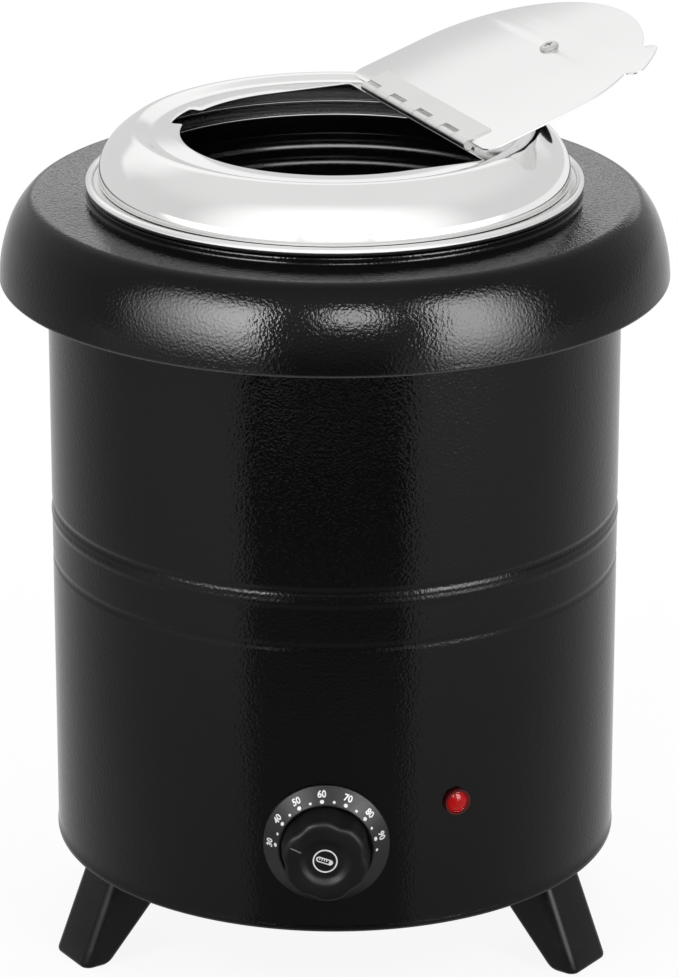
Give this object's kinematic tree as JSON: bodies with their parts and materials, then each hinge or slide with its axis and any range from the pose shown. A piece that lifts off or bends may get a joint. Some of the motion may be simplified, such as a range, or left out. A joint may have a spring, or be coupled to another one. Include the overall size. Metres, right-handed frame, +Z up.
{
  "type": "soup kettle",
  "caption": "Electric soup kettle with a black hammertone casing and collar, water bath, lift-out pot, polished lid with a hinged flap, thermostat dial, pilot lamp and splayed legs.",
  "frame": {"origin": "on the floor under the kettle's upright axis", "axes": "+Z up along the axis, -Y towards the dial (front), +X to the right as seen from the front"},
  "size_m": [0.3408, 0.3408, 0.4634],
  "materials": {
    "black_enamel": "glossy black hammertone enamel",
    "black_moulding": "semi-matt black moulding",
    "dial_plastic": "dark grey moulding with white print",
    "polished_steel": "mirror polished stainless steel",
    "brushed_sheet": "fine brushed stainless sheet",
    "galvanised_sheet": "plain galvanised sheet",
    "zinc_fasteners": "zinc plated steel",
    "element_sheath": "heat-tinted steel sheath",
    "terminal_brass": "plain brass and copper",
    "control_plastic": "black moulded plastic",
    "red_lens": "clear glossy red lens",
    "wire_insulation": "brown insulation"
  },
  "bodies": {
    "casing": {"base_plate": "galvanised_sheet", "base_screws": "zinc_fasteners", "bulb_clip": "galvanised_sheet", "capillary_bulb": "terminal_brass", "capillary_tube": "terminal_brass", "cord_gland": "control_plastic", "cord_gland_nut": "control_plastic", "dial_bezel": "dial_plastic", "earth_nut": "zinc_fasteners", "earth_stud": "zinc_fasteners", "heater_clamp_bar": "galvanised_sheet", "heater_nut": "zinc_fasteners", "heater_stud": "zinc_fasteners", "heater_terminals": "terminal_brass", "heating_element": "element_sheath", "leg_front_left": "black_moulding", "leg_front_right": "black_moulding", "leg_rear": "black_moulding", "leg_screws": "zinc_fasteners", "outer_body": "black_enamel", "pilot_lamp_body": "control_plastic", "pilot_lamp_lens": "red_lens", "pilot_lamp_nut": "control_plastic", "terminal_block": "control_plastic", "terminal_screws": "zinc_fasteners", "thermal_cutout": "control_plastic", "thermostat": "control_plastic", "thermostat_screws": "zinc_fasteners", "top_collar": "black_enamel", "water_tank": "polished_steel", "wiring": "wire_insulation"},
    "control": {"control_knob": "black_moulding", "thermostat_shaft": "terminal_brass"},
    "pot": {"inner_pot": "polished_steel"},
    "lid": {"lid": "polished_steel", "lid_rim": "polished_steel", "lid_hinge_leaf": "brushed_sheet", "hinge_pin": "brushed_sheet"},
    "flap": {"flap": "brushed_sheet", "flap_hinge_leaf": "brushed_sheet", "flap_knob": "black_moulding", "flap_knob_screw": "zinc_fasteners"}
  },
  "joints": [
    {"name": "knob_turn", "type": "hinge", "parent": "casing", "child": "control", "pos_m": [0, -0.1498, 0.093], "axis": [0, 1, 0], "range_deg": [-19, 159]},
    {"name": "pot_lift", "type": "slide", "parent": "casing", "child": "pot", "axis": [0, 0, 1], "range_m": [0, 0.3]},
    {"name": "lid_lift", "type": "slide", "parent": "pot", "child": "lid", "axis": [0, 0, 1], "range_m": [0, 0.1]},
    {"name": "flap_swing", "type": "hinge", "parent": "lid", "child": "flap", "pos_m": [0.04059, 0.02033, 0.42229], "axis": [0.4478, -0.8942, 0], "range_deg": [0, 161.6]}
  ]
}
